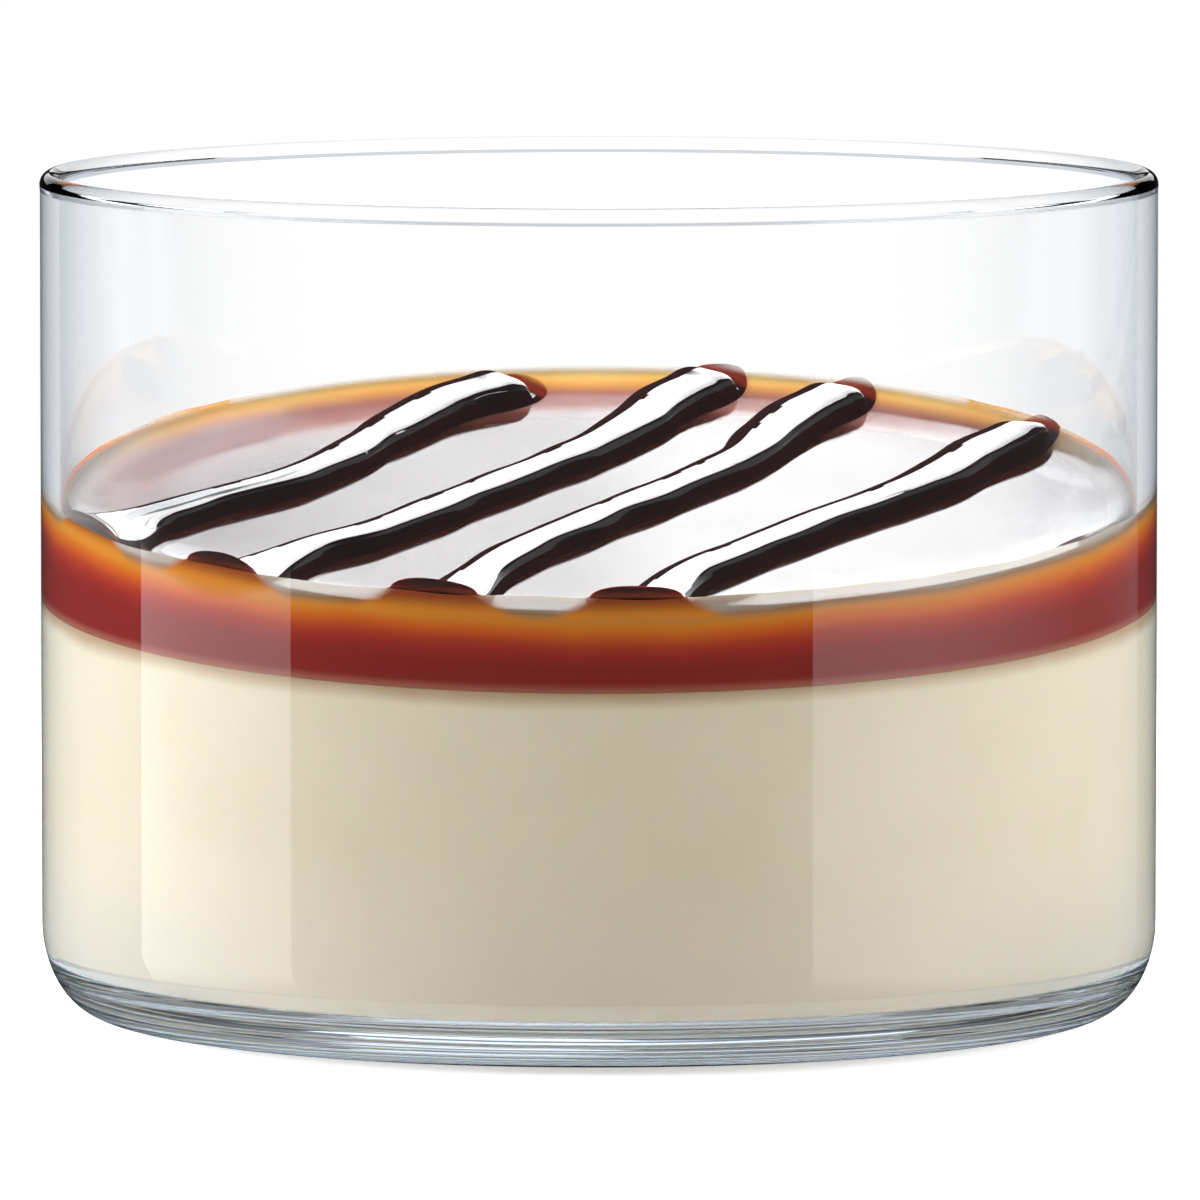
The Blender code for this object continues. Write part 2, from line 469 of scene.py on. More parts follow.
@dataclass(frozen=True)
class IvoryCream(Finish):
    """Set cream: ivory, soft under the surface, faintly mottled, stained under the caramel."""

    layers: Layers = field(kw_only=True)
    name: str = "ivory_cream"
    ivory: Colour = (0.91, 0.770, 0.575)
    shade: Colour = (0.88, 0.740, 0.540)
    mottle_scale: float = 70.0
    mottle_zone: Zone = (0.35, 0.70)
    fine_scale: float = 900.0
    polish: float = 0.38
    polish_spread: float = 0.12
    low: Colour = (0.93, 0.800, 0.645)
    low_zone: Zone = (0.0040, 0.0170)
    # Painted shade: the cream's far side is darkened to this colour.
    behind: Colour = (0.64, 0.540, 0.400)
    painted_back_shade_zone: Zone = (0.0040, 0.0260)
    stain: Colour = (0.62, 0.40, 0.24)
    stain_depth: float = 0.0014

    def surface(self, sheet: NodeSheet) -> Value:
        """Mottles the ivory, pales it lower down, paints shade on its far side and stains its top edge.

        Args:
            sheet: The material's nodes.

        Returns:
            The shader.
        """
        x, y, z = sheet.axes(sheet.own())
        mottle = sheet.noise(self.mottle_scale, detail=3.0)
        fine = sheet.noise(self.fine_scale, detail=2.0)
        body = sheet.mix(sheet.smooth(mottle, *self.mottle_zone), self.ivory, self.shade)
        body = sheet.mix(1 - sheet.smooth(z, *self.low_zone), body, self.low)
        # Painted shade on the cream's far side.
        body = sheet.mix(sheet.smooth(y, *self.painted_back_shade_zone), body, self.behind)
        depth = self.layers.cream_level(x, y) - z + (mottle - NOISE_MEAN) * self.stain_depth
        stained = 1 - sheet.smooth(depth, 0.0, self.stain_depth)
        return sheet.principled(
            {
                "Base Color": sheet.mix(stained, body, self.stain),
                "Roughness": self.polish + fine * self.polish_spread,
                "Subsurface Weight": 0.5,
                "Subsurface Radius": (1.0, 0.75, 0.45),
                "Subsurface Scale": 2 * MILLIMETRE,
                "Specular IOR Level": 0.0,
                "Normal": sheet.bump(fine, strength=0.05, distance=0.1 * MILLIMETRE),
            }
        )


@dataclass(frozen=True)
class AmberCaramel(Finish):
    """Caramel: amber where it thins out at the wall, deep red below, dark and glossy on top.

    A painted glow brightens its thin edge, painted reflections lie at its back and left, and its
    ring is painted paler at the left and right ends.
    """

    layers: Layers = field(kw_only=True)
    face: Face = Face.AIR
    name: str = "amber_caramel"
    ior: float = 1.47
    scatter: Colour = (1.0, 0.5, 0.2)
    low: float = -0.0050
    high: float = 0.0017
    # The side's colour by depth: the caramel's own deep red, brightened near the top by a painted glow,
    # as of light that comes in through the surface.
    behind_glass: Stops = (
        (0.00, (0.26, 0.026, 0.022)),
        (0.37, (0.27, 0.027, 0.022)),
        (0.51, (0.36, 0.034, 0.023)),
        (0.62, (0.48, 0.060, 0.022)),
        (0.73, (0.66, 0.135, 0.020)),
        (0.84, (0.70, 0.240, 0.028)),
        (0.93, (0.46, 0.240, 0.110)),
        (1.00, (0.62, 0.540, 0.450)),
    )
    # The ring at the wall: the caramel's own amber where it is thin, brightened towards the wall by a
    # painted glow.
    open_edge: Stops = (
        (0.70, (0.48, 0.100, 0.050)),
        (0.76, (0.70, 0.200, 0.075)),
        (0.84, (0.96, 0.420, 0.090)),
        (0.92, (1.00, 0.640, 0.210)),
        (1.00, (1.00, 0.840, 0.540)),
    )
    wander: float = 0.0012
    wander_scale: float = 90.0
    wander_stretch: Point = (1.0, 1.0, 0.3)
    bleed: Colour = (0.40, 0.13, 0.085)
    bleed_height: float = 0.0008
    pool: Colour = (0.050, 0.012, 0.009)
    shallow: Colour = (0.31, 0.100, 0.078)
    # Painted reflection: the dull skin at the back takes this pinkish grey for the grey that the
    # surface would mirror.
    skin_painted_reflection: Colour = (0.37, 0.145, 0.120)
    matte_share: float = 0.78
    # Painted reflection: a lilac patch over the pool and the skin at the caramel's left.
    left_pool_painted_lilac: Colour = (0.42, 0.275, 0.265)
    left_skin_painted_lilac: Colour = (0.43, 0.285, 0.275)
    painted_lilac_zone: Zone = (0.0190, 0.0300)
    gloss: float = 0.5
    left_gloss: float = 0.08
    gloss_zone: Zone = (-0.0040, 0.0075)
    polish: float = 0.04
    polish_spread: float = 0.03
    polish_scale: float = 40.0
    patch: float = 0.006
    patch_scale: float = 60.0
    patch_in_skin: float = 0.3
    back_slant: float = 0.4
    back_zone: Zone = (0.002, 0.026)
    shallow_zone: Zone = (0.0150, 0.0030)
    skin_zone: Zone = (0.0098, 0.0070)
    ring_zone: Zone = (0.0050, 0.0016)
    ring_narrowing: float = 0.05
    # Painted light: the ring and the side are paler at their left and right ends.
    painted_pale_end: Colour = (0.52, 0.45, 0.36)
    open_ends: Zone = (0.0310, 0.0390)
    far_ends: Zone = (0.0260, 0.0340)
    far_zone: Zone = (0.0, 0.010)
    far_height: Zone = (0.0, 0.0006)
    under_foot: Colour = (0.30, 0.060, 0.020)
    over_amber: Colour = (0.72, 0.250, 0.030)
    foot_height: Zone = (0.0004, 0.0011)
    foot_stain: Zone = (0.0010, 0.0024)
    foot_zone: Zone = (0.0026, 0.0044)
    foot_spread: float = 1.6
    clear_open: float = 0.95
    clear_front: float = 0.35
    clear_zone: Zone = (-0.010, 0.010)
    thin_height: Zone = (0.0008, 0.0016)

    def surface(self, sheet: NodeSheet) -> Value:
        """Colours the caramel by its depth under the surface, with a painted glow near the top, and
        thins its top edge.

        Args:
            sheet: The material's nodes.

        Returns:
            The shader.
        """
        x, y, z = sheet.axes(sheet.own())
        above = z - self.layers.flat_level(x, y)
        where = sheet.stretched(self.wander_stretch)
        stray = sheet.noise(self.wander_scale, detail=2.0, where=where) - NOISE_MEAN
        share = (above + stray * self.wander - self.low) / (self.high - self.low)
        is_open = self.face is Face.AIR
        # The ramps' brighter top is a painted glow.
        edge = sheet.ramp(share, self.open_edge if is_open else self.behind_glass)
        over_cream = z - self.layers.cream_level(x, y)
        edge = sheet.mix(sheet.smooth(over_cream, 0.0, self.bleed_height), self.bleed, edge)
        dress = self.open_top if is_open else self.side
        body, clear = dress(sheet, (x, y, above), edge)
        return sheet.blend(sheet.smooth(above, *self.thin_height) * clear, body, sheet.clear())

    def open_top(self, sheet: NodeSheet, place: Place, edge: Value) -> tuple[Value, float]:
        """The open surface: a glossy pool, with a dull skin at the back and a ring at the wall.

        The skin's pinkish grey and a lilac patch at the left are painted reflections, and the ring is
        painted paler at its left and right ends.

        Args:
            sheet: The material's nodes.
            place: The place's x and y, and its height over the caramel's flat.
            edge: The ring's colour.

        Returns:
            The shader, and how clear it is where it is thinnest.
        """
        x, y, _ = place
        # Painted light: the ring paler at its left and right ends.
        edge = sheet.mix(self.near_ends(sheet, x, self.open_ends), edge, self.painted_pale_end)
        out = sheet.from_axis(x, y)
        rim = out - abs(x) * self.ring_narrowing
        in_ring = self.layers.near_wall(sheet, rim, self.ring_zone)
        patch = (sheet.noise(self.patch_scale, detail=3.0) - NOISE_MEAN) * self.patch
        near_back = sheet.smooth(y - self.back_slant * x + patch, *self.back_zone)
        # Painted reflection: the mask of the lilac patch at the left.
        painted_lilac_mask = sheet.smooth(0.0 - x, *self.painted_lilac_zone)
        redder = self.layers.near_wall(sheet, out + patch, self.shallow_zone) * near_back
        pool = sheet.mix(redder, self.pool, sheet.mix(painted_lilac_mask, self.shallow, self.left_pool_painted_lilac))
        glossy = sheet.principled(
            {
                "Base Color": sheet.mix(in_ring, pool, edge),
                "Roughness": self.roughness(sheet),
                "IOR": self.ior,
                "Specular IOR Level": 0.5,
                "Subsurface Weight": 1.0,
                "Subsurface Radius": self.scatter,
                "Subsurface Scale": 2.5 * MILLIMETRE,
                "Coat Weight": self.left_gloss
                + sheet.smooth(x, *self.gloss_zone) * (self.gloss - self.left_gloss),
                "Coat Roughness": 0.02,
                "Coat IOR": 1.5,
            }
        )
        # Painted reflection: the dull skin's pinkish grey, and lilac at the left.
        skin_painted_reflection = sheet.mix(painted_lilac_mask, self.skin_painted_reflection, self.left_skin_painted_lilac)
        dull = sheet.principled(
            {
                "Base Color": sheet.mix(in_ring, skin_painted_reflection, edge),
                "Roughness": 0.6,
                "Specular IOR Level": 0.0,
                "Subsurface Weight": 0.5,
                "Subsurface Radius": self.scatter,
                "Subsurface Scale": MILLIMETRE,
            }
        )
        skinned = self.layers.near_wall(sheet, rim + patch * self.patch_in_skin, self.skin_zone)
        return sheet.blend(skinned * near_back * self.matte_share, glossy, dull), self.clear_open

    def side(self, sheet: NodeSheet, place: Place, edge: Value) -> tuple[Value, Value]:
        """The side on the glass, stained under the strips' feet, clearer at the back, painted paler at
        its far ends.

        Args:
            sheet: The material's nodes.
            place: The place's x and y, and its height over the caramel's flat.
            edge: The colour by depth.

        Returns:
            The shader, and how clear it is where it is thinnest.
        """
        x, y, above = place
        # Painted light: the side paler at its left and right ends, behind.
        far_end = self.near_ends(sheet, x, self.far_ends) * sheet.smooth(y, *self.far_zone)
        edge = sheet.mix(far_end * sheet.smooth(above, *self.far_height), edge, self.painted_pale_end)
        at_foot = self.near_feet(sheet, x, y, above) * sheet.smooth(above, *self.foot_height)
        stained = sheet.mix(sheet.smooth(above, *self.foot_stain), self.over_amber, self.under_foot)
        body = sheet.principled(
            {
                "Base Color": sheet.mix(at_foot, edge, stained),
                "Roughness": self.roughness(sheet),
                "IOR": self.ior,
                "Specular IOR Level": 0.0,
                "Subsurface Weight": 0.25,
                "Subsurface Radius": self.scatter,
                "Subsurface Scale": 1.2 * MILLIMETRE,
            }
        )
        to_back = sheet.smooth(y, *self.clear_zone) * (self.clear_open - self.clear_front)
        return body, (self.clear_front + to_back) * (1 - at_foot)

    def roughness(self, sheet: NodeSheet) -> Value:
        """A smooth finish that wavers a little."""
        return self.polish + sheet.noise(self.polish_scale, detail=2.0) * self.polish_spread

    @staticmethod
    def near_ends(sheet: NodeSheet, x: Value, zone: Zone) -> Value:
        """0 in the middle, and 1 at the left and right ends."""
        return sheet.smooth(x * x, zone[0] ** 2, zone[1] ** 2)

    def near_feet(self, sheet: NodeSheet, x: Value, y: Value, above: Value) -> Value:
        """1 where a strip's foot stands over the caramel's edge, fading to 0 away from it.

        Args:
            sheet: The material's nodes.
            x: The place's x.
            y: The place's y.
            above: Its height over the caramel's flat.

        Returns:
            The share, which reaches out further lower down.
        """
        layers = self.layers
        lower = (layers.meniscus_rise + layers.meniscus_front - above) * self.foot_spread
        # A metre, which is further off than any foot.
        apart = 1.0
        for foot_x, foot_y in layers.feet:
            apart = sheet.math("MINIMUM", apart, ((x - foot_x) ** 2 + (y - foot_y) ** 2) ** 0.5)
        return 1 - sheet.smooth(apart - lower, *self.foot_zone)


@dataclass(frozen=True)
class DarkChocolate(Finish):
    """Chocolate sauce: near-black brown and glossy, dark red where thin or on the glass; its hem
    painted dark.
    """

    layers: Layers = field(kw_only=True)
    name: str = "dark_chocolate"
    dark: Colour = (0.007, 0.0025, 0.003)
    warm: Colour = (0.013, 0.0040, 0.004)
    film: Colour = (0.30, 0.040, 0.018)
    deep_film: Colour = (0.15, 0.018, 0.010)
    # Painted shade: the near-black of the dull hem along each side of a strip.
    painted_dark_hem: Colour = (0.020, 0.008, 0.008)
    mottle_scale: float = 260.0
    polish: float = 0.02
    polish_spread: float = 0.03
    dimple_scale: float = 420.0
    wall_zone: Zone = (0.0004, 0.0001)
    cap_height: float = 0.00100
    toe_red: float = 0.40
    toe_dull: float = 0.15
    toe_fade: Zone = (0.35, 1.0)
    toe_clear: float = 0.85
    on_glass: Stops = (
        (0.00, (0.30, 0.060, 0.022)),
        (0.25, (0.15, 0.028, 0.017)),
        (0.50, (0.05, 0.018, 0.016)),
        (1.00, (0.02, 0.012, 0.013)),
    )

    def surface(self, sheet: NodeSheet) -> Value:
        """Mottles the brown a little under a smooth gloss, lets the thin places glow red, and paints a
        dark hem.

        Args:
            sheet: The material's nodes.

        Returns:
            The shader.
        """
        layers = self.layers
        x, y, z = sheet.axes(sheet.own())
        mottle = sheet.noise(self.mottle_scale, detail=3.0)
        dimples = sheet.noise(self.dimple_scale, detail=1.0)
        at_wall = layers.near_wall(sheet, sheet.from_axis(x, y), self.wall_zone)
        forward = sheet.math("MAXIMUM", 0.0 - y, 0.0) * (layers.meniscus_front / layers.radius)
        over_edge = z - layers.flat_level(x, y) - layers.meniscus_rise - forward
        cap = sheet.ramp(over_edge / self.cap_height, self.on_glass)
        body = sheet.principled(
            {
                "Base Color": sheet.mix(mottle, self.dark, self.warm),
                "Roughness": self.polish + mottle * self.polish_spread,
                "IOR": 1.55,
                "Coat Weight": 1.0,
                "Coat Roughness": 0.015,
                "Coat IOR": 1.75,
                "Normal": sheet.bump(dimples, strength=0.04, distance=0.1 * MILLIMETRE),
            }
        )
        in_toe = sheet.mark(Mark.TOE)
        film = sheet.mix(mottle, self.film, self.deep_film)
        film = sheet.mix(sheet.smooth(in_toe, 0.0, self.toe_red), self.painted_dark_hem, film)
        thin = sheet.principled(
            {
                "Base Color": sheet.mix(at_wall, film, cap),
                "Roughness": 0.25,
                "Specular IOR Level": 0.0,
                "Subsurface Weight": 0.4,
                "Subsurface Radius": (1.0, 0.2, 0.1),
                "Subsurface Scale": 0.6 * MILLIMETRE,
            }
        )
        # The dull hem is painted shade.
        dull = sheet.math("MAXIMUM", sheet.smooth(in_toe, 0.0, self.toe_dull), sheet.mark(Mark.PAINTED_DARK_HEM))
        made = sheet.blend(sheet.math("MAXIMUM", dull, at_wall), body, thin)
        return sheet.blend(sheet.smooth(in_toe, *self.toe_fade) * self.toe_clear, made, sheet.clear())


def circle(radius: float, level: float | Level) -> Ring:
    """A ring of points about Z.

    Args:
        radius: Its radius.
        level: Its height, or a function that gives the height at x and y.

    Returns:
        The points, or a single one where the radius is 0.
    """
    if radius == 0.0:
        return [(0.0, 0.0, level(0.0, 0.0) if callable(level) else level)]
    ring = []
    for step in range(TURN_STEPS):
        x = radius * math.cos(math.tau * step / TURN_STEPS)
        y = radius * math.sin(math.tau * step / TURN_STEPS)
        ring.append((x, y, level(x, y) if callable(level) else level))
    return ring


def arc(
    centre: tuple[float, float], reach: float, rise: float, start: float, end: float, count: int
) -> Profile:
    """Points along an elliptical arc.

    Args:
        centre: Its middle.
        reach: Half its width.
        rise: Half its height.
        start: The angle that it starts at, in degrees.
        end: The angle that it ends at.
        count: The number of steps.

    Returns:
        The points, both ends included.
    """
    turns = [math.radians(start + (end - start) * i / count) for i in range(count + 1)]
    return [(centre[0] + reach * math.cos(a), centre[1] + rise * math.sin(a)) for a in turns]


class Skin:
    """A closed mesh skinned over rings of points, from one end point to the other."""

    def __init__(self, name: str) -> None:
        """Starts with no rings.

        Args:
            name: The piece's name.
        """
        self.name = name
        self.rings: list[Ring] = []
        self.slots: list[int] = []
        self.marks: list[Mark] = []
        self.shares: list[float] = []
        self.hems: list[tuple[int, int]] = []

    def add(
        self,
        ring: Ring,
        slot: int = 0,
        mark: Mark = Mark.PLAIN,
        share: float = 1.0,
        painted_dark_hem: tuple[int, int] = (0, 0),
    ) -> None:
        """Adds a ring.

        Args:
            ring: Its points.
            slot: The material slot of the faces that lead to it.
            mark: The mark of those faces.
            share: How strong the mark is.
            painted_dark_hem: How many of them are its painted dark hem, from the ring's start and from
                its end.
        """
        self.rings.append(ring)
        self.slots.append(slot)
        self.marks.append(mark)
        self.shares.append(share)
        self.hems.append(painted_dark_hem)

    def build(self, materials: Sequence[bpy.types.Material]) -> bpy.types.Object:
        """Skins the rings.

        Args:
            materials: The materials of the slots, in order.

        Returns:
            The piece, in the scene.
        """
        shape = bmesh.new()
        layers = {mark: shape.faces.layers.float.new(mark.value) for mark in Mark}
        points = [[shape.verts.new(point) for point in ring] for ring in self.rings]
        kinds = zip(self.slots[1:], self.marks[1:], self.shares[1:], self.hems[1:])
        for near, far, (slot, mark, share, painted_dark_hem) in zip(points, points[1:], kinds):
            count = max(len(near), len(far))
            for i in range(count):
                j = (i + 1) % count
                corners = [near[k % len(near)] for k in (i, j)] + [far[k % len(far)] for k in (j, i)]
                face = shape.faces.new(list(dict.fromkeys(corners)))
                face.material_index = slot
                face[layers[mark]] = share
                if i < painted_dark_hem[0] or i >= count - 1 - painted_dark_hem[1]:
                    face[layers[Mark.PAINTED_DARK_HEM]] = 1.0
        bmesh.ops.remove_doubles(shape, verts=shape.verts[:], dist=WELD)
        bmesh.ops.recalc_face_normals(shape, faces=shape.faces[:])
        mesh = bpy.data.meshes.new(self.name)
        shape.to_mesh(mesh)
        shape.free()
        mesh.shade_smooth()
        mesh.set_sharp_from_angle(angle=SMOOTH_BELOW)
        for material in materials:
            mesh.materials.append(material)
        made = bpy.data.objects.new(self.name, mesh)
        bpy.context.scene.collection.objects.link(made)
        return made


def settle(piece: bpy.types.Object, node: str) -> bpy.types.Object:
    """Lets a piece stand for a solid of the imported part.

    Args:
        piece: The piece.
        node: The solid's node.

    Returns:
        The piece.
    """
    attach(piece, BODY)
    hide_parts(node)
    log.info("%s stands for %s: %d faces", piece.name, node, len(piece.data.polygons))
    return piece


@dataclass
class Tumbler:
    """The glass: punt, standing ring, rounded heel, straight wall, round lip, bore and floor."""

    outer_radius: float
    height: float
    wall: float = 0.00145
    heel_reach: float = 0.0047
    heel_rise: float = 0.0069
    ring_width: float = 0.0045
    punt_depth: float = 0.0009
    floor_height: float = 0.0032
    inner_corner: float = 0.0018
    lip_rise: float = 0.0009
    bead: float = 0.00004
    bead_foot: float = 0.00045
    hold: float = 0.00005
    punt_steps: int = 12
    bend_steps: int = 28
    bead_steps: int = 12
    corner_steps: int = 18
    floor_shares: tuple[float, ...] = (0.6, 0.3, 0.0)
    finish: ClearGlass = field(default_factory=ClearGlass)

    @classmethod
    def from_frame(cls) -> Tumbler:
        """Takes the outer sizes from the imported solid."""
        _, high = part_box("glass_tumbler")
        return cls(outer_radius=high.x, height=high.z)

    @property
    def bore_radius(self) -> float:
        """The radius inside the wall."""
        return self.outer_radius - self.wall

    def outside(self) -> Profile:
        """The profile from the middle of the punt to the top of the outer wall.

        Returns:
            The (radius, height) points.
        """
        ring_outer = self.outer_radius - self.heel_reach
        ring_inner = ring_outer - self.ring_width
        shares = [i / self.punt_steps for i in range(self.punt_steps + 1)]
        punt = [(ring_inner * s, self.punt_depth * (1 - s * s)) for s in shares]
        flat = [(ring_inner + self.hold, 0.0), (ring_outer - self.hold, 0.0)]
        heel_reach = self.heel_reach - self.bead
        heel = arc((ring_outer, self.heel_rise), heel_reach, self.heel_rise, -90, 0, self.bend_steps)
        lip_foot = self.height - self.lip_rise
        wall_ends = (self.heel_rise + self.hold, lip_foot - self.bead_foot - self.hold)
        wall = [(self.outer_radius - self.bead, end) for end in wall_ends]
        swell = []
        for i in range(self.bead_steps + 1):
            share = i / self.bead_steps
            inward = self.bead * (1 + math.cos(math.pi * share)) / 2
            swell.append((self.outer_radius - inward, lip_foot - self.bead_foot * (1 - share)))
        return punt + flat + heel + wall + swell

    def lip(self) -> Profile:
        """The profile over the lip, from the outer wall to the bore.

        Returns:
            The (radius, height) points.
        """
        half = self.wall / 2
        centre = (self.outer_radius - half, self.height - self.lip_rise)
        return arc(centre, half, self.lip_rise, 0, 180, self.bend_steps)

    def corner(self) -> Profile:
        """The profile from the foot of the bore to the floor.

        Returns:
            The (radius, height) points.
        """
        centre = (self.bore_radius - self.inner_corner, self.floor_height + self.inner_corner)
        foot = (self.bore_radius, centre[1] + self.hold)
        bend = arc(centre, self.inner_corner, self.inner_corner, 0, -90, self.corner_steps)
        return [foot, *bend, (centre[0] - self.hold, self.floor_height)]

    def build(self, layers: Layers) -> bpy.types.Object:
        """Turns the glass.

        Args:
            layers: The dessert, which wets the bore up to its edge.

        Returns:
            The piece.
        """
        skin = Skin("turned_tumbler")
        for radius, height in self.outside():
            skin.add(circle(radius, height))
        for radius, height in self.lip():
            skin.add(circle(radius, height), mark=Mark.LIP)
        skin.add(circle(self.bore_radius, self.height - self.lip_rise - self.hold))
        skin.add(circle(self.bore_radius, layers.caramel_level))
        foot, *bend = self.corner()
        skin.add(circle(*foot), mark=Mark.WET)
        for radius, height in bend:
            skin.add(circle(radius, height))
        for share in self.floor_shares:
            skin.add(circle(self.bore_radius * share, self.floor_height))
        made = skin.build([self.finish.material()])
        return settle(made, "glass_tumbler")


@dataclass
class CreamLayer:
    """The set cream, which fills the foot of the glass up to its sloping top."""

    layers: Layers
    wall_rings: int = 12
    corner_steps: int = 18
    seat_shares: tuple[float, ...] = (0.0, 0.4, 0.8)
    top_shares: tuple[float, ...] = (0.66, 0.33, 0.0)

    def level(self, share: float) -> Level:
        """Heights at a share of the way up the wall, from the corner to the sloping top."""
        foot = self.layers.seat + self.layers.corner
        return lambda x, y: foot + (self.layers.cream_level(x, y) - foot) * share

    def build(self) -> bpy.types.Object:
        """Turns the cream and slopes its top.

        Returns:
            The piece.
        """
        layers = self.layers
        finish = IvoryCream(layers=layers)
        seat = layers.seat + layers.hair
        reach = layers.corner - layers.hair
        centre = (layers.bore_radius - layers.corner, layers.seat + layers.corner)
        skin = Skin("set_cream")
        for share in self.seat_shares:
            skin.add(circle(centre[0] * share, seat))
        for radius, height in arc(centre, reach, reach, -90, 0, self.corner_steps):
            skin.add(circle(radius, height))
        for i in range(1, self.wall_rings + 1):
            skin.add(circle(layers.radius, self.level(i / self.wall_rings)))
        for share in self.top_shares:
            skin.add(circle(layers.radius * share, layers.cream_level))
        return settle(skin.build([finish.material()]), "cream_layer")


@dataclass
class CaramelLayer:
    """The caramel on the cream, with the thin edge that it draws up the wall."""

    layers: Layers
    flat_rings: int = 40
    meniscus_rings: int = 26
    meniscus_reaches: float = 5.0
    seat_shares: tuple[float, ...] = (0.0, 0.5, 1.0)
    swell: float = 0.00004
    swell_scale: float = 70.0
    swell_seed: float = 3.0
    swell_fade: float = 6.0

    def seat(self, x: float, y: float) -> float:
        """Height of the underside, a hair over the cream."""
        return self.layers.cream_level(x, y) + self.layers.hair

    def top(self, x: float, y: float) -> float:
        """Height of the surface, which is not quite flat.

        Args:
            x: The place's x.
            y: The place's y.

        Returns:
            The height there.
        """
        inside = 1 - math.hypot(x, y) / self.layers.radius
        roll = noise.noise((x * self.swell_scale, y * self.swell_scale, self.swell_seed))
        roll *= self.swell * min(inside * self.swell_fade, 1.0)
        return self.layers.caramel_level(x, y) + roll

    def build(self) -> bpy.types.Object:
        """Builds the seat on the cream, the side on the glass and the surface.

        Returns:
            The piece.
        """
        layers = self.layers
        finishes = [AmberCaramel(layers=layers, face=face).material() for face in Face]
        skin = Skin("caramel_pour")
        for share in self.seat_shares:
            skin.add(circle(layers.radius * share, self.seat))
        start = layers.radius - self.meniscus_reaches * layers.meniscus_reach
        for i in range(self.meniscus_rings + 1):
            share = (i / self.meniscus_rings) ** 2
            face = Face.AIR if i else Face.GLASS
            skin.add(circle(layers.radius + (start - layers.radius) * share, self.top), face.value)
        for i in range(1, self.flat_rings + 1):
            skin.add(circle(start * (1 - i / self.flat_rings), self.top))
        return settle(skin.build(finishes), "caramel_layer")


